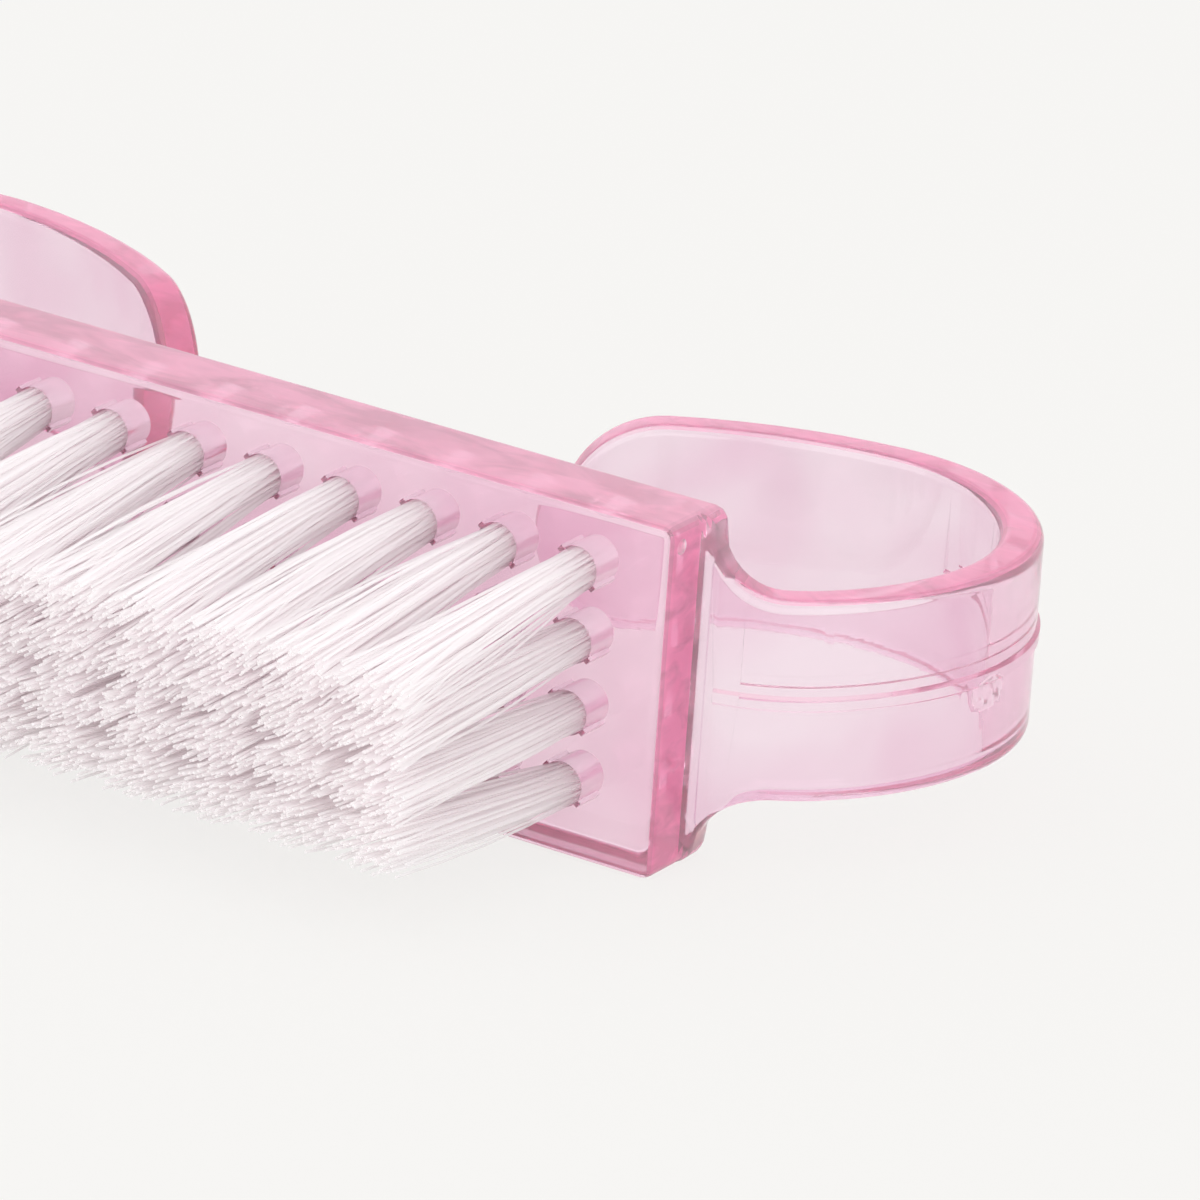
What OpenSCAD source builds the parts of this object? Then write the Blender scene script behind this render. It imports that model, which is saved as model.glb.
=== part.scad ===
// Nail brush: one moulded body of clear plastic with nylon tufts set in blind holes.
// The brush lies on one long side. X runs along the block, -Y is the way the bristles
// point, +Y is the side of the two curled arms and Z is up. The origin is the middle of
// the long side face that the brush lies on.

/* [Block] */
// Length of the block that carries the tufts
block_l = 72.3; // [66:0.1:80]
// Thickness of the block from bristle face to back
block_t = 6.1; // [5.8:0.1:7]
// Width of the block, which is its height as it lies
block_w = 22; // [21:0.5:26]
// Radius on the long edges of the block
edge_r = 0.75; // [0.4:0.05:1]
// Radius on the corners at the ends of the block
corner_r = 1; // [0.6:0.1:1.5]

/* [Curled arms] */
// Width of the band that curls back over the block
band_w = 12.6; // [12:0.1:13]
// Thickness of the band at its mid-width
band_t = 2.7; // [2.5:0.1:3]
// How much each face of the band leans in towards its edges, for the mould
band_draft = 0.12; // [0:0.01:0.2]
// Radius on the edges of the band
band_edge_r = 0.55; // [0.3:0.05:0.8]
// Distance from bristle face to the outer side of the arm where it leaves the block
root_depth = 3.6; // [3:0.1:3.8]
// Radius of the fillet between end face and arm
root_fillet = 0.9; // [0.4:0.1:1.2]
// Radius of the hollow of the neck, where full width narrows to the band
neck_r = 4.8; // [3:0.1:5.5]
// Distance from the end of the block to where the neck has become the band
neck_l = 5; // [4:0.1:6]
// Radius of the arm's first bend, next to the block
root_bend_r = 11.4; // [10:0.1:13]
// Radius of the arm where it runs up beside the loop
side_bend_r = 18.5; // [17:0.5:20]
// Radius of the arm where it curls over the loop
top_bend_r = 13.9; // [12.5:0.1:15]
// Radius of the arm on its way back to the block
free_bend_r = 31; // [26:0.5:36]

/* [Tufts] */
// Number of columns of tufts along the block
columns = 12; // [4:1:12]
// Number of rows of tufts across the block
rows = 4; // [2:1:4]
// Distance from the end of the block to the first column
end_inset = 5.6; // [5:0.1:7]
// Distance between rows
row_pitch = 4.5; // [4:0.1:4.6]
// The tufts as a whole sit this far along the block from its middle
rows_shift_x = -0.7; // [-1:0.1:1]
// The same across the block
rows_shift_z = 0.3; // [-0.5:0.1:0.5]
// Diameter of a tuft hole
hole_d = 2.8; // [2.6:0.1:3]
// Depth of a tuft hole
hole_depth = 4.6; // [4:0.1:5]
// Length of the bristles outside the block
bristle_l = 20; // [12:0.5:24]
// Thickness of one strand
strand_d = 0.55; // [0.4:0.05:0.6]
// Space between the tips of neighbouring tufts
tip_gap = 0.2; // [0.1:0.1:1]
// The trimmed face that all the tips form is shorter than the block by this much at each end
tips_inset = 3.6; // [3:0.1:5.6]
// Width of the trimmed face that all the tips form
tips_w = 12.4; // [12:0.1:16]

/* [Anchors] */
// Length of an anchor, which bites into both walls of its hole
anchor_l = 3.2; // [3.1:0.1:3.4]
// Height of an anchor along the hole
anchor_h = 1.4; // [1:0.1:1.6]
// Thickness of an anchor
anchor_t = 0.35; // [0.2:0.05:0.5]

/* [Hidden] */

face_y = -block_t / 2;
col_pitch = (block_l - 2 * end_inset) / (columns - 1);
// Clearance between a tuft or an anchor and the plastic round it
fit_gap = 0.03;
// Cuts run this far past the face that they open
overrun = 1;
hole_r = hole_d / 2;
plug_r = hole_r - fit_gap;
// Depth under an anchor that the folded filaments fill
fold_h = 0.7;
anchor_top = hole_depth - fold_h - anchor_h;
// Lean of the anchors against the rows, in degrees
anchor_lean = 40;
// A strand starts this deep in the root of its tuft
strand_root = 0.4;
// Rings of strands in a tuft: how many, and how far out as a share of the root's radius
strand_ring_shares = [[1, 0], [7, 0.75]];
ring_r = plug_r * strand_ring_shares[len(strand_ring_shares) - 1][1];
// The tufts share out the trimmed face evenly, so the outer ones lean in
tips_l = block_l - 2 * tips_inset;
tip_pitch_x = tips_l / columns;
tip_pitch_z = tips_w / rows;
// How much wider a tuft is at its tips than at its root, along and across the block
fan_x = (tip_pitch_x / 2 - tip_gap / 2 - strand_d / 2) / ring_r;
fan_z = (tip_pitch_z / 2 - tip_gap / 2 - strand_d / 2) / ring_r;

// The outer side of an arm is a chain of arcs, each [radius, degrees turned]
arm_arcs = [[root_bend_r, 41], [side_bend_r, 36], [top_bend_r, 102], [free_bend_r, 28]];
// Heading of the arm where it leaves the block, in degrees
root_heading = 7;
// Arms start this far inside the block, so that body and arms are one solid
root_sink = 0.5;
// The arm's inner side starts this far below the block's back
root_skin = 0.07;
root_t = (block_t - root_depth) / cos(root_heading) - root_skin;
// Slope of the neck between its two curves, in degrees
neck_slope = 65;
neck_start = neck_l - neck_r * sin(neck_slope);
neck_start_half = band_w / 2 + neck_r * (1 - cos(neck_slope));
tip_r = band_w / 2;

// Largest turn between two sections of an arm, in degrees
section_turn = 10;
corner_steps = 4;
edge_steps = 2;
tip_steps = 5;
// The last section stops this many degrees short of the quarter turn that rounds the tip
tip_stop = 4;
// The first sections lie closer together, for the fillet
root_crowding = 1.7;
// Largest radius on an edge as a share of the half width that it rounds
edge_share = 0.7;

function tuft_name(c, r) = str("tuft_", c < 10 ? "0" : "", c, "_", r);
function tuft_x(c) = rows_shift_x - block_l / 2 + end_inset + (c - 1) * col_pitch;
function tuft_z(r) = rows_shift_z + block_w / 2 + (r - (rows + 1) / 2) * row_pitch;
// How far the middle of a tuft's tips lies from the middle of its hole
function lean_x(c) = (c - (columns + 1) / 2) * (tip_pitch_x - col_pitch);
function lean_z(r) = (r - (rows + 1) / 2) * (tip_pitch_z - row_pitch);

// Points on a quarter circle, as a corner of an outline
function quarter(cx, cy, r, from) =
    [for (i = [0 : corner_steps])
        let (a = from + 90 * i / corner_steps) [cx + r * cos(a), cy + r * sin(a)]];

// Rectangle from the origin to [a, b] with rounded corners
module rounded_rect(a, b, r) {
    polygon(concat(
        quarter(r, r, r, 180),
        quarter(a - r, r, r, 270),
        quarter(a - r, b - r, r, 0),
        quarter(r, b - r, r, 90)
    ));
}

// Block: where its plan, its end view and its front view all hold. Its plan runs past
// the back, because the corners there are not rounded: the arms flow out of them.
module block() {
    intersection() {
        translate([-block_l / 2, face_y, 0])
            linear_extrude(block_w)
                rounded_rect(block_l, block_t + edge_r, edge_r);
        translate([-block_l / 2, face_y, 0])
            rotate([90, 0, 90])
                linear_extrude(block_l)
                    rounded_rect(block_t, block_w, edge_r);
        translate([-block_l / 2, -face_y, 0])
            rotate([90, 0, 0])
                linear_extrude(block_t)
                    rounded_rect(block_l, block_w, corner_r);
    }
}

// One step along an arc that turns left; a place p is [x, y, heading]
function on_arc(p, r, turn) = [
    p[0] + r * (sin(p[2] + turn) - sin(p[2])),
    p[1] - r * (cos(p[2] + turn) - cos(p[2])),
    p[2] + turn
];

// Straight on from a place
function ahead(p, d) = [p[0] + d * cos(p[2]), p[1] + d * sin(p[2]), p[2]];

// Place where arc i starts, from the block's end and the bristle face
function arc_start(i) =
    i == 0 ? [0, root_depth, root_heading]
    : on_arc(arc_start(i - 1), arm_arcs[i - 1][0], arm_arcs[i - 1][1]);

// Places of the sections along arc i
function arc_places(i) =
    let (p = arc_start(i), turn = arm_arcs[i][1], n = ceil(turn / section_turn))
    [for (k = [0 : n - 1]) on_arc(p, arm_arcs[i][0], turn * pow(k / n, i == 0 ? root_crowding : 1))];

// Distance from the end of the block, as long as the arm leads away from it
function reach(p) = p[2] < 90 ? p[0] : neck_l;

// Half the width of the arm at a distance x from the end of the block
function neck_half(x) =
    x >= neck_l ? band_w / 2
    : x > neck_start ? band_w / 2 + neck_r - sqrt(pow(neck_r, 2) - pow(neck_l - x, 2))
    : min(block_w / 2, neck_start_half + (neck_start - x) * tan(neck_slope));

// Thickness of the arm, which grows over the length of the neck
function thickness(x) = root_t + (band_t - root_t) * min(max(x, 0) / neck_l, 1);

// How far the fillet at the block stands out from the arm's outer side
function fillet_out(x) =
    x >= root_fillet ? 0
    : root_fillet - sqrt(pow(root_fillet, 2) - pow(root_fillet - max(x, 0), 2));

// Section of the arm at place p, with half width and thickness. Its points start in the
// middle of the outer side and run over the upper edge and back under the lower one.
function section(p, half, t) =
    let (
        r = min(band_edge_r, half * edge_share),
        lean = band_draft * half / max(half, tip_r),
        out = fillet_out(reach(p)),
        steps = [for (i = [0 : edge_steps]) 90 * i / edge_steps],
        upper = concat(
            [for (a = steps) [lean - out + r - r * cos(a), half - r + r * sin(a)]],
            [for (a = steps) [t - lean - r + r * sin(a), half - r + r * cos(a)]]
        ),
        lower = [for (i = [len(upper) - 1 : -1 : 0]) [upper[i][0], -upper[i][1]]]
    )
    [for (q = concat([[-out, 0]], upper, [[t, 0]], lower))
        [p[0] - q[0] * sin(p[2]), p[1] + q[0] * cos(p[2]), block_w / 2 + q[1]]];

// Skin over a row of sections with equal counts of points, closed at both ends
module loft(sections) {
    n = len(sections[0]);
    last = len(sections) - 1;
    polyhedron(
        points = [for (s = sections) each s],
        faces = concat(
            [for (k = [1 : n - 2]) [0, k + 1, k]],
            [for (j = [0 : last - 1], k = [0 : n - 1]) [j * n + k, (j + 1) * n + (k + 1) % n, (j + 1) * n + k]],
            [for (j = [0 : last - 1], k = [0 : n - 1]) [j * n + k, j * n + (k + 1) % n, (j + 1) * n + (k + 1) % n]],
            [for (k = [1 : n - 2]) [last * n, last * n + k, last * n + k + 1]]
        )
    );
}

// Arm: root in the block, neck, curled band and round free end
module arm() {
    places = [for (i = [0 : len(arm_arcs) - 1]) each arc_places(i)];
    tip = arc_start(len(arm_arcs));
    loft(concat(
        [section(ahead(places[0], -root_sink), neck_half(-root_sink), root_t)],
        [for (p = places) section(p, neck_half(reach(p)), thickness(reach(p)))],
        [for (i = [0 : tip_steps])
            let (a = (90 - tip_stop) * i / tip_steps)
            section(ahead(tip, tip_r * sin(a)), tip_r * cos(a), band_t)]
    ));
}

// Puts its child at the mouth of a tuft hole, with Z pointing into the block
module at_hole(c, r) {
    translate([tuft_x(c), face_y, tuft_z(r)])
        rotate([-90, 0, 0])
            children();
}

// Flat bar across a hole from one depth to another, grown by a gap on all sides
module anchor_bar(from, to, gap) {
    rotate([0, 0, anchor_lean])
        translate([-anchor_l / 2 - gap, -anchor_t / 2 - gap, from - gap])
            cube([anchor_l + 2 * gap, anchor_t + 2 * gap, to - from + 2 * gap]);
}

module brush_body() {
    color([0.93, 0.72, 0.83])
        difference() {
            union() {
                block();
                translate([block_l / 2, face_y, 0])
                    arm();
                mirror([1, 0, 0])
                    translate([block_l / 2, face_y, 0])
                        arm();
            }
            for (c = [1 : columns], r = [1 : rows])
                at_hole(c, r) {
                    translate([0, 0, -overrun])
                        cylinder(h = hole_depth + overrun, r = hole_r, $fn = 24);
                    anchor_bar(-overrun, anchor_top + anchor_h, fit_gap);
                }
        }
}

// One strand from a point in the root to its tip, as a thin prism
module strand(from, to) {
    d = to - from;
    translate(from)
        rotate([0, acos(d[2] / norm(d)), atan2(d[1], d[0])])
            cylinder(h = norm(d), d = strand_d, $fn = 3);
}

// Tuft: a folded root that fills its hole, and strands that fan out of it
module tuft(c, r) {
    color([0.95, 0.93, 0.95])
        at_hole(c, r) {
            difference() {
                cylinder(h = hole_depth - fit_gap, r = plug_r, $fn = 10);
                anchor_bar(anchor_top, anchor_top + anchor_h, fit_gap / 2);
            }
            for (ring = strand_ring_shares, i = [0 : ring[0] - 1]) {
                a = 360 * i / ring[0];
                x = plug_r * ring[1] * cos(a);
                z = plug_r * ring[1] * sin(a);
                strand([x, z, strand_root], [x * fan_x + lean_x(c), z * fan_z - lean_z(r), -bristle_l]);
            }
        }
}

// The anchors of one row of tufts, each across the fold of its tuft
module anchors_row(r) {
    color([0.75, 0.75, 0.78])
        for (c = [1 : columns])
            at_hole(c, r)
                anchor_bar(anchor_top, anchor_top + anchor_h, 0);
}

brush_body();
for (c = [1 : columns], r = [1 : rows])
    tuft(c, r);
for (r = [1 : rows])
    anchors_row(r);
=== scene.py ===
import math
import random

import bmesh
import bpy
from mathutils import Matrix, Vector


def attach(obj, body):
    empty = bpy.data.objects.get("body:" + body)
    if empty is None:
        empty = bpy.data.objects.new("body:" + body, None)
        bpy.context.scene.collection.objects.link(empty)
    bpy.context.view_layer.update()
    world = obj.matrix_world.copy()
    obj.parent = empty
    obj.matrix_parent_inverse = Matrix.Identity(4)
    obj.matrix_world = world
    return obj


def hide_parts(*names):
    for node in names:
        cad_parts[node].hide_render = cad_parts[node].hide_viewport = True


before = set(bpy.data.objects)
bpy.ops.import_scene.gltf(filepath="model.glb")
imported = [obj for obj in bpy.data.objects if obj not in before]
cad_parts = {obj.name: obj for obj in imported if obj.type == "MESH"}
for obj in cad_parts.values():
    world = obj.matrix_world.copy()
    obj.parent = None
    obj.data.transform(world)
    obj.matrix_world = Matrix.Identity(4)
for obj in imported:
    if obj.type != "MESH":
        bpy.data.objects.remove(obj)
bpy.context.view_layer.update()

mm = 0.001
hair = 0.01        # mm, margin for picking faces and points by their place


def nothingSelected():
    if bpy.context.mode != "OBJECT":
        bpy.ops.object.mode_set(mode="OBJECT")
    bpy.ops.object.select_all(action="DESELECT")


def only(piece):
    nothingSelected()
    piece.select_set(True)
    bpy.context.view_layer.objects.active = piece


def editMode():
    bpy.ops.object.mode_set(mode="EDIT")


def pick(kind, test):
    # selects the faces or edges that pass the test, and nothing else
    bpy.ops.mesh.select_mode(type=kind)
    bpy.ops.mesh.select_all(action="DESELECT")
    mesh = bpy.context.edit_object.data
    edit = bmesh.from_edit_mesh(mesh)
    for item in {"FACE": edit.faces, "EDGE": edit.edges}[kind]:
        if test(item):
            item.select_set(True)
    bmesh.update_edit_mesh(mesh)


def ramp(value, low, high):
    # 0 up to low, 1 from high on
    return min(max((value - low) / (high - low), 0), 1)


def addModifier(piece, kind, **settings):
    modifier = piece.modifiers.new(kind.lower(), kind)
    for name, value in settings.items():
        setattr(modifier, name, value)


def applyModifiers(piece):
    only(piece)
    for modifier in list(piece.modifiers):
        bpy.ops.object.modifier_apply(modifier=modifier.name)


def inPlace(piece):
    # object at the origin, unturned and unscaled, with its place in its mesh
    only(piece)
    bpy.ops.object.transform_apply(location=True, rotation=True, scale=True)


def linear(hexColour):
    # sRGB hex to the linear values that shaders want
    values = [int(hexColour[i:i + 2], 16) / 255 for i in (1, 3, 5)]
    return [v / 12.92 if v <= 0.04045 else ((v + 0.055) / 1.055) ** 2.4 for v in values] + [1]


def addNode(tree, kind, settings={}, values={}, links={}):
    # one node with its settings, socket values and incoming links
    node = tree.nodes.new(kind)
    for name, value in settings.items():
        setattr(node, name, value)
    for name, value in values.items():
        node.inputs[name].default_value = value
    for name, source in links.items():
        tree.links.new(source, node.inputs[name])
    return node


def mixShaders(tree, share, first, second):
    return addNode(tree, "ShaderNodeMixShader", links={"Fac": share, 1: first, 2: second})


def newMaterial(name):
    material = bpy.data.materials.new(name)
    material.use_nodes = True
    material.node_tree.nodes.clear()
    return material, material.node_tree


bristleFace = -3.05        # mm, the side that the bristles stand on

# Clear polystyrene, injection moulded and tinted pink in the mass: sharp glossy surface,
# colour that deepens with the length of the way through it, faint flow lines.
plasticLook = {
    "tint": (0.995, 0.17, 0.52), "tintPerMetre": 46.0,     # what is left of red, green and blue
    "skinDeep": "#F3DEEC", "skinPale": "#FBF7FC", "cloudMm": 9.0,     # soft clouds in the skin
    "haze": 0.1, "hazeColour": "#FBEAF2",        # slightly milky
    "hazeDrilled": 0.32, "roughDrilled": 0.08,   # and more so where it is frosted
    # painted glow: the rims' pink, paler or deeper, stands in for light carried a long way along
    # inside the tinted plastic
    "rimGlowPale": "#F9AFCB", "rimGlowDeep": "#FC8DBA",  # the narrow rims, which are a little matt
    "rimLow": 0.42, "rimHigh": 0.68, "rimRough": 0.3,
    "ior": 1.57, "roughLow": 0.015, "roughHigh": 0.06,
    "flowLineMm": 1.6, "flowStretch": (0.25, 0.6, 1.0), "waveDeepMm": 0.05,
    "scratchMm": 0.35,
    "shadowTint": "#F8F0F4",
}


def makeClearPlastic():
    look = plasticLook
    material, tree = newMaterial("clearPinkPolystyrene")
    place = addNode(tree, "ShaderNodeTexCoord")
    # flow lines run along the block and the arms, so the pattern is stretched that way
    stretched = addNode(tree, "ShaderNodeMapping", values={"Scale": look["flowStretch"]},
                        links={"Vector": place.outputs["Object"]})
    flow = addNode(tree, "ShaderNodeTexNoise",
                   values={"Scale": 1 / (look["flowLineMm"] * mm), "Detail": 3.0,
                           "Roughness": 0.5, "Distortion": 0.6},
                   links={"Vector": stretched.outputs["Vector"]})
    fine = addNode(tree, "ShaderNodeTexNoise",
                   values={"Scale": 1 / (look["scratchMm"] * mm), "Detail": 2.0, "Roughness": 0.6},
                   links={"Vector": place.outputs["Object"]})
    gloss = addNode(tree, "ShaderNodeMapRange",
                    values={"From Min": 0.35, "From Max": 0.75,
                            "To Min": look["roughLow"], "To Max": look["roughHigh"]},
                    links={"Value": fine.outputs["Fac"]})
    # the drill leaves the walls of the holes frosted
    drilled = addNode(tree, "ShaderNodeAttribute", settings={"attribute_name": "drilled"})
    rough = addNode(tree, "ShaderNodeMix", values={"B": look["roughDrilled"]},
                    links={"Factor": drilled.outputs["Fac"], "A": gloss.outputs["Result"]})
    wave = addNode(tree, "ShaderNodeBump",
                   values={"Strength": 0.1, "Distance": look["waveDeepMm"] * mm},
                   links={"Height": flow.outputs["Fac"]})
    cloud = addNode(tree, "ShaderNodeTexNoise",
                    values={"Scale": 1 / (look["cloudMm"] * mm), "Detail": 1.5,
                            "Roughness": 0.45, "Distortion": 0.4},
                    links={"Vector": place.outputs["Object"]})
    clouded = addNode(tree, "ShaderNodeMapRange", values={"From Min": 0.36, "From Max": 0.62},
                      links={"Value": cloud.outputs["Fac"]})
    skin = addNode(tree, "ShaderNodeMix", settings={"data_type": "RGBA"},
                   values={"A": linear(look["skinDeep"]), "B": linear(look["skinPale"])},
                   links={"Factor": clouded.outputs["Result"]})
    body = addNode(tree, "ShaderNodeBsdfPrincipled",
                   values={"IOR": look["ior"], "Transmission Weight": 1.0},
                   links={"Base Color": skin.outputs["Result"],
                          "Roughness": rough.outputs["Result"], "Normal": wave.outputs["Normal"]})
    # the dye and the fine marks of the mould catch a little light
    milk = addNode(tree, "ShaderNodeBsdfDiffuse", values={"Color": linear(look["hazeColour"])})
    haze = addNode(tree, "ShaderNodeMapRange",
                   values={"To Min": look["haze"], "To Max": look["hazeDrilled"]},
                   links={"Value": drilled.outputs["Fac"]})
    hazy = mixShaders(tree, haze.outputs["Result"], body.outputs["BSDF"], milk.outputs["BSDF"])
    # the narrow rims round the block and the arms are a little matt, as the mould left them, and
    # their pink is a painted glow in place of the light carried along inside the plastic
    rim = addNode(tree, "ShaderNodeAttribute", settings={"attribute_name": "rim"})
    patchy = addNode(tree, "ShaderNodeMapRange",
                     values={"From Min": 0.38, "From Max": 0.62,
                             "To Min": look["rimLow"], "To Max": look["rimHigh"]},
                     links={"Value": flow.outputs["Fac"]})
    share = addNode(tree, "ShaderNodeMath", settings={"operation": "MULTIPLY"},
                    links={0: rim.outputs["Fac"], 1: patchy.outputs["Result"]})
    # painted glow: the rims' pink is painted deeper on the block's ends and round the arms, where
    # light runs a long way through the dye
    deep = addNode(tree, "ShaderNodeAttribute", settings={"attribute_name": "rimGlowDepth"})
    paintedRimGlow = addNode(tree, "ShaderNodeMix", settings={"data_type": "RGBA"},
                   values={"A": linear(look["rimGlowPale"]), "B": linear(look["rimGlowDeep"])},
                   links={"Factor": deep.outputs["Fac"]})
    satin = addNode(tree, "ShaderNodeBsdfPrincipled",
                    values={"Roughness": look["rimRough"], "IOR": look["ior"]},
                    links={"Base Color": paintedRimGlow.outputs["Result"]})
    rimmed = mixShaders(tree, share.outputs["Value"], hazy.outputs["Shader"], satin.outputs["BSDF"])
    # lamps shine through it, as they do through real clear plastic
    ray = addNode(tree, "ShaderNodeLightPath")
    through = addNode(tree, "ShaderNodeBsdfTransparent",
                      values={"Color": linear(look["shadowTint"])})
    either = mixShaders(tree, ray.outputs["Is Shadow Ray"], rimmed.outputs["Shader"],
                        through.outputs["BSDF"])
    tinted = addNode(tree, "ShaderNodeVolumeAbsorption",
                     values={"Color": (*look["tint"], 1), "Density": look["tintPerMetre"]})
    addNode(tree, "ShaderNodeOutputMaterial",
            links={"Surface": either.outputs["Shader"], "Volume": tinted.outputs["Volume"]})
    return material


# Nylon filament, drawn and cut: milky white, slightly see-through, with a soft shine
# along its length and small differences from one filament to the next.
nylonLook = {
    "milk": "#FFFEFE", "shade": "#FFFDFE", "streakMm": 0.25, "streakLong": 0.04,
    "ior": 1.53, "rough": 0.42, "sheen": 0.2,
    "milky": 0.5,                              # share of its light that goes on through
    # how see-through a filament is near its tip, near the block and in its hole
    "clearTips": 0.35, "clearRoots": 0.65, "clearInside": 0.5,
    "rootsLong": 7.0,                          # mm over which it changes, from the block out
}


def makeNylon():
    look = nylonLook
    material, tree = newMaterial("whiteNylonFilament")
    place = addNode(tree, "ShaderNodeTexCoord")
    # long along the filaments, one filament wide across them
    along = addNode(tree, "ShaderNodeMapping", values={"Scale": (1.0, look["streakLong"], 1.0)},
                    links={"Vector": place.outputs["Object"]})
    streak = addNode(tree, "ShaderNodeTexNoise",
                     values={"Scale": 1 / (look["streakMm"] * mm), "Detail": 2.0, "Roughness": 0.6},
                     links={"Vector": along.outputs["Vector"]})
    colour = addNode(tree, "ShaderNodeValToRGB", links={"Fac": streak.outputs["Fac"]})
    for stop, at, name in zip(colour.color_ramp.elements, (0.35, 0.6), ("shade", "milk")):
        stop.position, stop.color = at, linear(look[name])
    shine = addNode(tree, "ShaderNodeMapRange",
                    values={"From Min": 0.3, "From Max": 0.7,
                            "To Min": look["rough"] - 0.1, "To Max": look["rough"] + 0.1},
                    links={"Value": streak.outputs["Fac"]})
    body = addNode(tree, "ShaderNodeBsdfPrincipled",
                   values={"IOR": look["ior"], "Specular IOR Level": look["sheen"]},
                   links={"Base Color": colour.outputs["Color"],
                          "Roughness": shine.outputs["Result"]})
    # nylon is only half milky: part of the light goes on to the filaments behind
    onwards = addNode(tree, "ShaderNodeBsdfTranslucent", links={"Color": colour.outputs["Color"]})
    milky = addNode(tree, "ShaderNodeMixShader", values={"Fac": look["milky"]},
                    links={1: body.outputs["BSDF"], 2: onwards.outputs["BSDF"]})
    clear = addNode(tree, "ShaderNodeBsdfTransparent")
    across = addNode(tree, "ShaderNodeSeparateXYZ", links={"Vector": place.outputs["Object"]})
    outside = addNode(tree, "ShaderNodeMapRange",
                      values={"From Min": (bristleFace - look["rootsLong"]) * mm,
                              "From Max": bristleFace * mm,
                              "To Min": look["clearTips"], "To Max": look["clearRoots"]},
                      links={"Value": across.outputs["Y"]})
    inside = addNode(tree, "ShaderNodeMapRange",
                     values={"From Min": (bristleFace - 0.1) * mm,
                             "From Max": (bristleFace + 0.4) * mm, "To Max": look["clearInside"]},
                     links={"Value": across.outputs["Y"], "To Min": outside.outputs["Result"]})
    either = mixShaders(tree, inside.outputs["Result"], milky.outputs["Shader"],
                        clear.outputs["BSDF"])
    addNode(tree, "ShaderNodeOutputMaterial", links={"Surface": either.outputs["Shader"]})
    return material


# Nickel-plated steel strip, sheared from a roll: bright, with lines along the strip.
stripLook = {"metal": "#EDEBE9", "dark": "#C9C6C4", "rough": 0.32, "lineMm": 0.12}


def makeStrip():
    look = stripLook
    material, tree = newMaterial("nickelPlatedStrip")
    place = addNode(tree, "ShaderNodeTexCoord")
    along = addNode(tree, "ShaderNodeMapping", values={"Scale": (0.2, 1.0, 0.2)},
                    links={"Vector": place.outputs["Object"]})
    line = addNode(tree, "ShaderNodeTexNoise",
                   values={"Scale": 1 / (look["lineMm"] * mm), "Detail": 2.0},
                   links={"Vector": along.outputs["Vector"]})
    colour = addNode(tree, "ShaderNodeMix", settings={"data_type": "RGBA"},
                     values={"A": linear(look["metal"]), "B": linear(look["dark"])},
                     links={"Factor": line.outputs["Fac"]})
    rough = addNode(tree, "ShaderNodeMapRange",
                    values={"To Min": look["rough"] - 0.08, "To Max": look["rough"] + 0.12},
                    links={"Value": line.outputs["Fac"]})
    body = addNode(tree, "ShaderNodeBsdfPrincipled", values={"Metallic": 1.0},
                   links={"Base Color": colour.outputs["Result"],
                          "Roughness": rough.outputs["Result"]})
    addNode(tree, "ShaderNodeOutputMaterial", links={"Surface": body.outputs["BSDF"]})
    return material


clearPlastic = makeClearPlastic()
nylon = makeNylon()
strip = makeStrip()
print("materials made")


# the moulded body, in mm and degrees
moulding = {
    "block": {
        "length": 72.3, "thick": 6.1, "width": 22.0,
        "edgeRound": 0.75, "edgeSegments": 4, "sharpAbove": 32, "smoothBelow": 35,
    },
    "arm": {
        "band": 12.6, "thick": 2.7,
        "rootDepth": 3.6, "rootThick": 2.45, "rootHeading": 7,
        "arcs": ((11.4, 41), (18.5, 36), (13.9, 102), (31.0, 28)),   # radius and turn of each
        "neckLength": 5.0, "neckRadius": 4.8, "neckSlope": 65,
        "turnStep": 4.0, "neckStep": 0.62, "tipSegments": 14, "tipRounded": 0.995,
    },
    # where the two halves of the mould meet, a low bead runs round the arms at mid-height
    "bead": {"foot": 1.0, "top": 0.62, "high": 0.2, "fromBlock": 1.2, "fromTip": 7.0},
    # where the plastic ran in, the sprue was twisted off and left a small rough spot
    "gate": {"at": (47.85, 14.6, 10.0), "wide": 3.0, "high": 2.2, "rough": 0.16,
             "cuts": 5, "reach": 0.7, "seed": 3},
    "holes": {
        "columns": 12, "rows": 4, "endInset": 5.6, "rowPitch": 4.5,
        "shiftX": -0.7, "shiftZ": 0.3,      # the pattern sits a little off the middle
        "wide": 2.8, "deep": 4.6, "endRound": 0.25, "sides": 40,
        "slotLong": 3.26, "slotWide": 0.41, "slotDeep": 3.93, "lean": 40,
        # a small round dimple that a pin of the mould left on the right end
        "dimpleAt": (36.5, -1.84, 20.69), "dimpleRadius": 0.6,
    },
    # how matt each rim is, from 0 to 1, how deep its painted glow (pink standing in for light
    # carried along inside the plastic), and how squarely it has to face up, or endwise, to be a
    # rim: not at all up to the first number, in full from the second
    "rims": {"armMatt": 0.75, "armGlowDepth": 0.8, "endMatt": 0.9, "sideGlowDepth": 0.15,
             "facing": (0.6, 0.9), "tipFacing": (0.4, 0.7), "tipReach": 7.5, "wide": 0.8},
}
block, arm, bead, gate, holes, rims = moulding.values()
columnPitch = (block["length"] - 2 * holes["endInset"]) / (holes["columns"] - 1)
middleZ = block["width"] / 2


def holeCentre(column, row):
    x = holes["shiftX"] - block["length"] / 2 + holes["endInset"] + (column - 1) * columnPitch
    z = holes["shiftZ"] + middleZ + (row - (holes["rows"] + 1) / 2) * holes["rowPitch"]
    return x, z


def eachHole():
    return [(c, r) for c in range(1, holes["columns"] + 1) for r in range(1, holes["rows"] + 1)]


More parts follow.
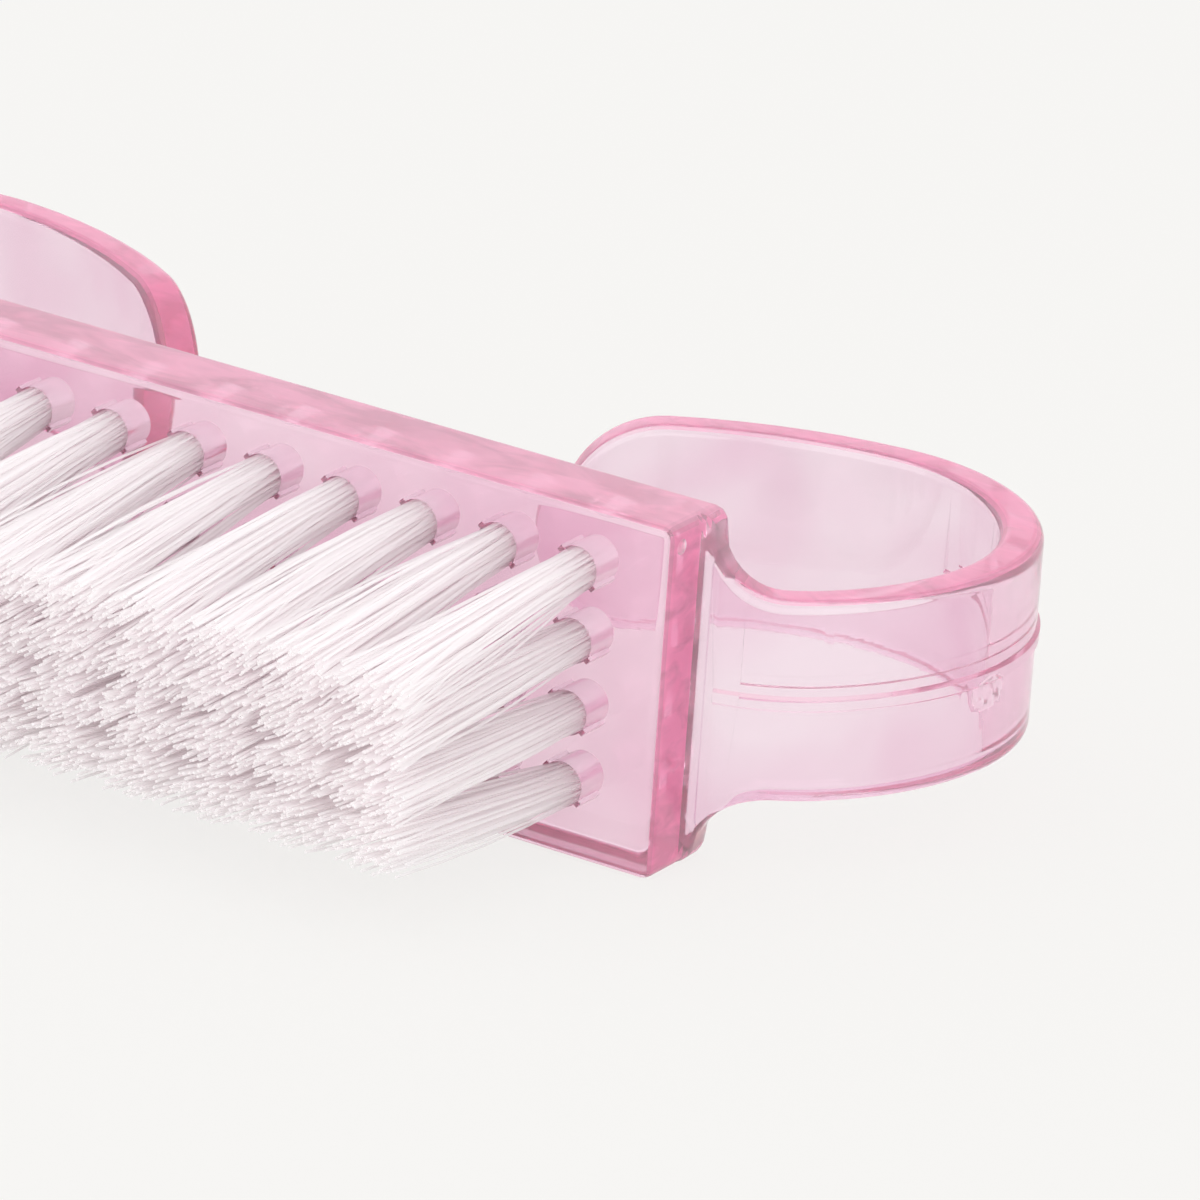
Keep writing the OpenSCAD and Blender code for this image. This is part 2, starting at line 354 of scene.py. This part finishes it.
def neckHalf(reach):
    # half the arm's width at a distance from the end of the block
    r, slope, half = arm["neckRadius"], math.radians(arm["neckSlope"]), arm["band"] / 2
    start = arm["neckLength"] - r * math.sin(slope)
    if reach >= arm["neckLength"]:
        return half
    if reach > start:
        return half + r - math.sqrt(r * r - (arm["neckLength"] - reach) ** 2)
    sloping = (start - reach) * math.tan(slope)
    return min(block["width"] / 2, half + r * (1 - math.cos(slope)) + sloping)


def armStations():
    # centre of the section, heading, half width and thickness, from the block outwards
    x, y, heading = 0.0, arm["rootDepth"], math.radians(arm["rootHeading"])
    stations = []
    for index, (radius, degrees) in enumerate(arm["arcs"]):
        turn = math.radians(degrees)
        if index == 0:
            d = arm["neckLength"] - arm["neckRadius"] * math.sin(math.radians(arm["neckSlope"]))
            steps = []
            while d < radius * turn * 0.999:
                steps.append(d / radius)
                d += arm["neckStep"]
            steps.append(turn)
        else:
            count = math.ceil(degrees / arm["turnStep"])
            steps = [turn * (i + 1) / count for i in range(count)]
        for t in steps:
            px = x + radius * (math.sin(heading + t) - math.sin(heading))
            py = y - radius * (math.cos(heading + t) - math.cos(heading))
            stations.append((px, py, heading + t))
        x, y, heading = stations[-1]
    ahead = arm["band"] / 2
    stations.append((x + ahead * math.cos(heading), y + ahead * math.sin(heading), heading))
    result = []
    for px, py, h in stations:
        reach = px if h < math.pi / 2 else arm["neckLength"]
        thicker = min(max(reach, 0) / arm["neckLength"], 1)
        thick = arm["rootThick"] + (arm["thick"] - arm["rootThick"]) * thicker
        centre = (px - math.sin(h) * thick / 2, py + math.cos(h) * thick / 2)
        result.append((*centre, h, neckHalf(reach), thick))
    return result


def tipPlace(side):
    # middle of the free end of an arm, seen from above, and its heading
    x, y, heading = armStations()[-1][:3]
    return Vector((side * (block["length"] / 2 + x) * mm, (bristleFace + y) * mm)), heading


def pullArm(side):
    # the end of the block is pulled out section by section, as the arm's own centre line runs
    end, split = side * block["length"] / 2 * mm, (bristleFace + arm["rootDepth"]) * mm

    def rootFace(face):
        centre = face.calc_center_median()
        return abs(centre.x - end) < hair * mm and centre.y > split

    pick("FACE", rootFace)
    thick = block["thick"] - arm["rootDepth"]
    cx, cy, heading, half = 0.0, arm["rootDepth"] + thick / 2, 0.0, block["width"] / 2
    for nx, ny, nHeading, nHalf, nThick in armStations():
        step = (side * (nx - cx) * mm, (ny - cy) * mm, 0)
        centre = (end + side * nx * mm, (bristleFace + ny) * mm, middleZ * mm)
        bpy.ops.mesh.extrude_region_move(TRANSFORM_OT_translate={"value": step})
        # transform.rotate turns clockwise without a window
        bpy.ops.transform.rotate(value=-side * (nHeading - heading), orient_axis="Z",
                                 center_override=centre)
        k = nThick / thick
        bpy.ops.transform.resize(value=(k, k, nHalf / half), center_override=centre)
        cx, cy, heading, half, thick = nx, ny, nHeading, nHalf, nThick
    # the two short edges at the free end are rounded until they meet
    tipAt, tipHalf = tipPlace(side)[0], half * mm
    near = (thick / 2 + 0.1) * mm

    def tipEdge(edge):
        a, b = (v.co for v in edge.verts)
        return abs(a.z - b.z) < hair * mm and all(
            (c.xy - tipAt).length < near and abs(abs(c.z - middleZ * mm) - tipHalf) < hair * mm
            for c in (a, b))

    pick("EDGE", tipEdge)
    bpy.ops.mesh.bevel(offset=tipHalf * arm["tipRounded"], segments=arm["tipSegments"],
                       profile=0.5, affect="EDGES", clamp_overlap=False)


bpy.ops.mesh.primitive_cube_add(size=1, location=(0, 0, middleZ * mm))
body = bpy.context.object
body.name = "mouldedBody"
body.scale = (block["length"] * mm, block["thick"] * mm, block["width"] * mm)
inPlace(body)
editMode()
bpy.ops.mesh.select_all(action="SELECT")
bpy.ops.mesh.bisect(plane_co=(0, (bristleFace + arm["rootDepth"]) * mm, 0), plane_no=(0, 1, 0))
pullArm(1)
pullArm(-1)
bpy.ops.mesh.select_all(action="SELECT")
bpy.ops.mesh.normals_make_consistent(inside=False)
bpy.ops.object.mode_set(mode="OBJECT")
print("body pulled out of the block:", len(body.data.polygons), "faces")
addModifier(body, "BEVEL", width=block["edgeRound"] * mm, segments=block["edgeSegments"],
            limit_method="ANGLE", angle_limit=math.radians(block["sharpAbove"]),
            use_clamp_overlap=False, miter_outer="MITER_SHARP")
applyModifiers(body)
print("edges rounded:", len(body.data.polygons), "faces")


def raiseBead():
    # the arms' broad sides are cut lengthwise near mid-height, and the strip between is raised
    start = (block["length"] / 2 + bead["fromBlock"]) * mm
    tips = [tipPlace(side)[0] for side in (-1, 1)]

    def onSide(face):
        heights = [v.co.z / mm - middleZ for v in face.verts]
        return (abs(face.normal.z) < 0.3 and min(heights) < hair and max(heights) > -hair
                and min(abs(v.co.x) for v in face.verts) > start
                and all((v.co.xy - tipAt).length > bead["fromTip"] * mm
                        for v in face.verts for tipAt in tips))

    def onBead(face):
        return face.select or abs(face.calc_center_median().z / mm - middleZ) < bead["foot"] / 2

    def onCrest(vert):
        # on the strip between the cuts, and not at the foot of its slopes
        around = vert.link_faces
        return any(face.select for face in around) and all(onBead(face) for face in around)

    only(body)
    editMode()
    for half in (bead["foot"] / 2, bead["top"] / 2):
        for side in (-1, 1):
            pick("FACE", onSide)
            bpy.ops.mesh.bisect(plane_co=(0, 0, (middleZ + side * half) * mm), plane_no=(0, 0, 1))
    pick("FACE", onSide)
    edit = bmesh.from_edit_mesh(body.data)
    moves = [(v, Vector((v.normal.x, v.normal.y, 0)).normalized())
             for v in edit.verts if onCrest(v)]
    for v, outwards in moves:
        v.co += outwards * bead["high"] * mm
    bmesh.update_edit_mesh(body.data)
    bpy.ops.mesh.select_all(action="SELECT")
    bpy.ops.mesh.normals_make_consistent(inside=False)
    bpy.ops.object.mode_set(mode="OBJECT")
    print("bead raised at", len(moves), "points")


def roughenGate():
    at, halfHigh = Vector(gate["at"]) * mm, gate["high"] / 2 * mm
    reach = (gate["wide"] / 2 + gate["reach"]) * mm

    def nearGate(face):
        heights = [v.co.z - at.z for v in face.verts]
        return (face.normal.x > 0.8 and (face.calc_center_median().xy - at.xy).length < reach
                and min(heights) < halfHigh and max(heights) > -halfHigh)

    only(body)
    editMode()
    for side in (-1, 1):
        pick("FACE", nearGate)
        bpy.ops.mesh.bisect(plane_co=at + Vector((0, 0, side * halfHigh)), plane_no=(0, 0, 1))
    pick("FACE", lambda f: nearGate(f) and abs(f.calc_center_median().z - at.z) < halfHigh)
    bpy.ops.mesh.subdivide(number_cuts=gate["cuts"])
    edit = bmesh.from_edit_mesh(body.data)
    patch = [v for v in edit.verts if v.select and all(f.select for f in v.link_faces)]
    chance = random.Random(gate["seed"])
    for v in sorted(patch, key=lambda p: (round(p.co.z / mm, 3), round(p.co.y / mm, 3))):
        far = math.hypot((v.co.y - at.y) / mm / (gate["wide"] / 2),
                         (v.co.z - at.z) / mm / (gate["high"] / 2))
        v.co.x += ramp(1.1 - far, 0, 0.4) * chance.uniform(-0.3, 1.0) * gate["rough"] * mm
    bmesh.update_edit_mesh(body.data)
    bpy.ops.object.mode_set(mode="OBJECT")
    print("gate mark roughened at", len(patch), "points")


raiseBead()
roughenGate()


def makeHoles():
    # one hole with its anchor slot, copied to each place, and the dimple of the mould's pin
    bpy.ops.mesh.primitive_cylinder_add(
        vertices=holes["sides"], radius=holes["wide"] / 2 * mm, depth=(holes["deep"] + 1) * mm,
        location=(0, (bristleFace + (holes["deep"] - 1) / 2) * mm, 0), rotation=(math.pi / 2, 0, 0))
    bore = bpy.context.object
    inPlace(bore)
    editMode()
    # the drilled end is slightly domed
    pick("EDGE", lambda e: all(v.co.y > bristleFace * mm for v in e.verts)
         and len(e.link_faces) == 2 and any(len(f.verts) > 4 for f in e.link_faces))
    bpy.ops.mesh.bevel(offset=holes["endRound"] * mm, segments=2, affect="EDGES")
    bpy.ops.object.mode_set(mode="OBJECT")
    bpy.ops.mesh.primitive_cube_add(
        size=1, location=(0, (bristleFace + (holes["slotDeep"] - 1) / 2) * mm, 0))
    slot = bpy.context.object
    slot.scale = (holes["slotLong"] * mm, (holes["slotDeep"] + 1) * mm, holes["slotWide"] * mm)
    slot.rotation_euler = (0, math.radians(holes["lean"]), 0)
    inPlace(slot)
    addModifier(bore, "BOOLEAN", operation="UNION", solver="EXACT", object=slot)
    applyModifiers(bore)
    only(slot)
    bpy.ops.object.delete()
    cuts = []
    for column, row in eachHole():
        copy = bpy.data.objects.new("bore", bore.data.copy())
        bpy.context.collection.objects.link(copy)
        x, z = holeCentre(column, row)
        copy.location = (x * mm, 0, z * mm)
        cuts.append(copy)
    only(bore)
    bpy.ops.object.delete()
    bpy.ops.mesh.primitive_uv_sphere_add(segments=24, ring_count=16,
                                         radius=holes["dimpleRadius"] * mm,
                                         location=Vector(holes["dimpleAt"]) * mm)
    dimple = bpy.context.object
    inPlace(dimple)
    cuts.append(dimple)
    only(cuts[0])
    for cut in cuts:
        cut.select_set(True)
    bpy.ops.object.join()
    inPlace(bpy.context.object)
    return bpy.context.object


cutter = makeHoles()
addModifier(body, "BOOLEAN", operation="DIFFERENCE", solver="EXACT", object=cutter)
applyModifiers(body)
only(cutter)
bpy.ops.object.delete()
print("holes cut:", len(body.data.polygons), "faces")


def markDrilled(piece):
    # 1 on the walls of the holes and other rough spots, 0 elsewhere, for the material to read
    centres = [holeCentre(column, row) for column, row in eachHole()]
    gateX, gateY, gateZ = gate["at"]
    marks = piece.data.attributes.new("drilled", "FLOAT", "FACE")
    for face in piece.data.polygons:
        x, y, z = (v / mm for v in face.center)
        inHole = bristleFace + hair < y < bristleFace + holes["deep"] + 0.05 and any(
            math.hypot(x - cx, z - cz) < holes["slotLong"] / 2 + 0.02 for cx, cz in centres)
        fromDimple = (face.center / mm - Vector(holes["dimpleAt"])).length
        inDimple = fromDimple < holes["dimpleRadius"] + 0.02
        fromGate = math.hypot((y - gateY) / gate["wide"], (z - gateZ) / gate["high"])
        atGate = x > gateX - 0.6 and fromGate < 0.5
        marks.data[face.index].value = float(inHole or inDimple or atGate)


def markRims(piece):
    # how matt the narrow rims are, and how deep their painted glow, for the material to read
    for name in ("rim", "rimGlowDepth"):
        piece.data.attributes.new(name, "FLOAT", "FACE")
    matt, deep = piece.data.attributes["rim"], piece.data.attributes["rimGlowDepth"]
    endX = block["length"] / 2
    tips = {side: tipPlace(side) for side in (-1, 1)}
    for face in piece.data.polygons:
        x, y, z = (v / mm for v in face.center)
        normal, side = face.normal, 1 if x > 0 else -1
        level, endwise = (ramp(abs(n), *rims["facing"]) for n in (normal.z, normal.x))
        if abs(x) > endX + 0.1 or y > bristleFace + block["thick"] + 0.1:
            # at the free end, the rim is what doesn't face across the arm's thickness
            tipAt, heading = tips[side]
            if (face.center.xy - tipAt).length < rims["tipReach"] * mm:
                across = abs(normal.x * side * -math.sin(heading) + normal.y * math.cos(heading))
                level = max(level, ramp(1 - across, *rims["tipFacing"]))
            values = rims["armMatt"] * level, rims["armGlowDepth"]
        elif abs(x) > endX - block["edgeRound"]:
            values = rims["endMatt"] * max(endwise, level), endwise
        elif min(z, block["width"] - z) < rims["wide"]:
            values = level, rims["sideGlowDepth"]
        else:
            continue
        matt.data[face.index].value, deep.data[face.index].value = values


markDrilled(body)
markRims(body)
only(body)
bpy.ops.object.shade_smooth_by_angle(angle=math.radians(block["smoothBelow"]))
addModifier(body, "WEIGHTED_NORMAL", keep_sharp=True)
applyModifiers(body)
body.data.materials.clear()
body.data.materials.append(clearPlastic)
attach(body, "root")
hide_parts("brush_body")
print("body finished")


tufts = {
    "filaments": 108, "thick": 0.19, "length": 20.0,     # mm
    "points": 4, "rootShare": 0.9,                   # points outside the hole, share of it filled
    "tipsLong": 65.1, "tipsWide": 12.4,              # the trimmed face that all the tips form
    "tipGap": 0.1, "uneven": 0.25, "bow": 0.25, "stray": 0.16,
    "square": 0.55,                                  # from 0, round at the tips, to 1, square
    "splay": 1.15, "jitter": 0.2,
    "foldGap": 0.55, "foldRise": 1.2, "foldShare": 0.85, "straight": 0.6,     # in the hole
}
goldenAngle = 2.39996


def makeTuft(column, row):
    x0, z0 = holeCentre(column, row)
    pitchX, pitchZ = tufts["tipsLong"] / holes["columns"], tufts["tipsWide"] / holes["rows"]
    # the outer tufts lean in, so that all share out the trimmed face
    leanX = (column - (holes["columns"] + 1) / 2) * (pitchX - columnPitch)
    leanZ = (row - (holes["rows"] + 1) / 2) * (pitchZ - holes["rowPitch"])
    halfX, halfZ = (pitchX - tufts["tipGap"]) / 2, (pitchZ - tufts["tipGap"]) / 2
    rootR = holes["wide"] / 2 * tufts["rootShare"]
    chance = random.Random(column * 10 + row)
    curve = bpy.data.curves.new("filaments", "CURVE")
    curve.dimensions = "3D"
    curve.bevel_depth = tufts["thick"] / 2 * mm
    curve.bevel_resolution = 0
    curve.use_fill_caps = True
    count, square = tufts["filaments"], tufts["square"]
    for i in range(count):
        # evenly spread over the hole, as sunflower seeds are, with a little chance
        share = math.sqrt((i + 0.5) / count)
        turn = i * goldenAngle + chance.uniform(-tufts["jitter"], tufts["jitter"])
        ux, uz = share * math.cos(turn), share * math.sin(turn)
        # at the tips a round tuft fills its rectangle between the neighbours
        big = max(abs(math.cos(turn)), abs(math.sin(turn)))
        fillX, fillZ = (u * (1 - square) + u / big * square for u in (ux, uz))
        tipX = fillX * halfX + chance.gauss(0, tufts["stray"]) + leanX
        tipZ = fillZ * halfZ + chance.gauss(0, tufts["stray"]) + leanZ
        long = tufts["length"] + chance.uniform(-tufts["uneven"], 0)
        bowX, bowZ = chance.gauss(0, tufts["bow"]), chance.gauss(0, tufts["bow"])
        deep = holes["deep"] - tufts["foldGap"] - tufts["foldRise"] * share * share
        # distance out of the block, and place across it
        places = [(-deep, ux * rootR * tufts["foldShare"], uz * rootR * tufts["foldShare"]),
                  (-tufts["straight"], ux * rootR, uz * rootR)]
        for k in range(1, tufts["points"] + 1):
            t = k / tufts["points"]
            ease, bend = t ** tufts["splay"], math.sin(math.pi * t)
            places.append((long * t, ux * rootR * (1 - ease) + tipX * ease + bowX * bend,
                           uz * rootR * (1 - ease) + tipZ * ease + bowZ * bend))
        spline = curve.splines.new("POLY")
        spline.points.add(len(places) - 1)
        for point, (out, px, pz) in zip(spline.points, places):
            point.co = ((x0 + px) * mm, (bristleFace - out) * mm, (z0 + pz) * mm, 1)
    piece = bpy.data.objects.new("tuft_%02d_%d_filaments" % (column, row), curve)
    bpy.context.collection.objects.link(piece)
    only(piece)
    bpy.ops.object.convert(target="MESH")
    piece = bpy.context.object
    piece.data.shade_flat()
    piece.data.materials.clear()
    piece.data.materials.append(nylon)
    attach(piece, "root")
    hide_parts("tuft_%02d_%d" % (column, row))
    return piece


total = 0
for column, row in eachHole():
    total += sum(len(f.vertices) - 2 for f in makeTuft(column, row).data.polygons)
print("tufts made:", total, "triangles")

for row in range(1, holes["rows"] + 1):
    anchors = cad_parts["anchors_row_%d" % row]
    anchors.data.materials.clear()
    anchors.data.materials.append(strip)
print("anchors given their metal")


studio = {
    "floor": "#F6F5F3", "floorShade": "#F0EFED", "floorSize": 6.0,
    "floorGlow": 0.88,     # how much of the backdrop's colour is seen without shadows on it
    "world": 0.93, "seenWorld": 1.0,
    "key": {"place": (-0.25, -1.0, 0.85), "size": 1.3, "power": 4.5},
    "fill": {"place": (0.95, -0.75, 0.35), "size": 1.2, "power": 4.5},
}


def seenRay(tree):
    # 1 for rays that show the backdrop: straight to the camera, mirrored or through clear plastic
    ray = addNode(tree, "ShaderNodeLightPath")
    mirrored = addNode(tree, "ShaderNodeMath", settings={"operation": "ADD", "use_clamp": True},
                       links={0: ray.outputs["Is Camera Ray"], 1: ray.outputs["Is Glossy Ray"]})
    return addNode(tree, "ShaderNodeMath", settings={"operation": "ADD", "use_clamp": True},
                   links={0: mirrored.outputs["Value"], 1: ray.outputs["Is Transmission Ray"]})


def makeFloor():
    bpy.ops.mesh.primitive_plane_add(size=studio["floorSize"], location=(0, 0, -0.02 * mm))
    floor = bpy.context.object
    floor.name = "floor"
    material, tree = newMaterial("paperFloor")
    body = addNode(tree, "ShaderNodeBsdfPrincipled",
                   values={"Base Color": linear(studio["floorShade"]), "Roughness": 0.9,
                           "Specular IOR Level": 0.1})
    glow = addNode(tree, "ShaderNodeMath", settings={"operation": "MULTIPLY"},
                   values={1: studio["floorGlow"]}, links={0: seenRay(tree).outputs["Value"]})
    paper = addNode(tree, "ShaderNodeEmission", values={"Color": linear(studio["floor"])})
    both = mixShaders(tree, glow.outputs["Value"], body.outputs["BSDF"], paper.outputs["Emission"])
    addNode(tree, "ShaderNodeOutputMaterial", links={"Surface": both.outputs["Shader"]})
    floor.data.materials.append(material)


def makeLight(name, place, size, power, target=(0, 0, 0.011)):
    lamp = bpy.data.lights.new(name, "AREA")
    lamp.shape = "SQUARE"
    lamp.size = size
    lamp.energy = power
    holder = bpy.data.objects.new(name, lamp)
    holder.location = place
    holder.rotation_euler = (Vector(target) - Vector(place)).to_track_quat("-Z", "Y").to_euler()
    bpy.context.collection.objects.link(holder)


def makeWorld():
    world = bpy.data.worlds.new("studio")
    world.use_nodes = True
    tree = world.node_tree
    tree.nodes.clear()
    light, backdrop = (
        addNode(tree, "ShaderNodeBackground",
                values={"Color": linear("#FFFFFF"), "Strength": studio[name]})
        for name in ("world", "seenWorld"))
    either = mixShaders(tree, seenRay(tree).outputs["Value"], light.outputs["Background"],
                        backdrop.outputs["Background"])
    addNode(tree, "ShaderNodeOutputWorld", links={"Surface": either.outputs["Shader"]})
    bpy.context.scene.world = world


photoView = {
    "target": (29.736, 0.0, 15.184), "azimuth": 31.59, "elevation": 21.042,
    "roll": 3.976, "distance": 577.23, "lens": 297.2,
}


def makeCamera():
    a, e, r = (math.radians(photoView[k]) for k in ("azimuth", "elevation", "roll"))
    back = Vector((math.sin(a) * math.cos(e), -math.cos(a) * math.cos(e), math.sin(e)))
    right = Vector((math.cos(a), math.sin(a), 0))
    up = back.cross(right)
    rolledRight = math.cos(r) * right + math.sin(r) * up
    rolledUp = -math.sin(r) * right + math.cos(r) * up
    camera = bpy.data.cameras.new("photoCamera")
    camera.sensor_width = 36
    camera.lens = photoView["lens"]
    camera.clip_start, camera.clip_end = 0.01, 20
    holder = bpy.data.objects.new("photoCamera", camera)
    holder.matrix_world = Matrix((
        (rolledRight.x, rolledUp.x, back.x, 0),
        (rolledRight.y, rolledUp.y, back.y, 0),
        (rolledRight.z, rolledUp.z, back.z, 0),
        (0, 0, 0, 1)))
    holder.location = (Vector(photoView["target"]) + photoView["distance"] * back) * mm
    bpy.context.collection.objects.link(holder)
    bpy.context.scene.camera = holder


makeFloor()
makeWorld()
makeLight("keySoftbox", **studio["key"])
makeLight("fillSoftbox", **studio["fill"])
makeCamera()
bpy.context.scene.view_settings.view_transform = "Standard"
# light goes to and fro many times inside clear plastic before it leaves
cycles = bpy.context.scene.cycles
cycles.max_bounces, cycles.glossy_bounces, cycles.transmission_bounces = 40, 24, 24
cycles.diffuse_bounces, cycles.transparent_max_bounces = 28, 128
print("studio set")
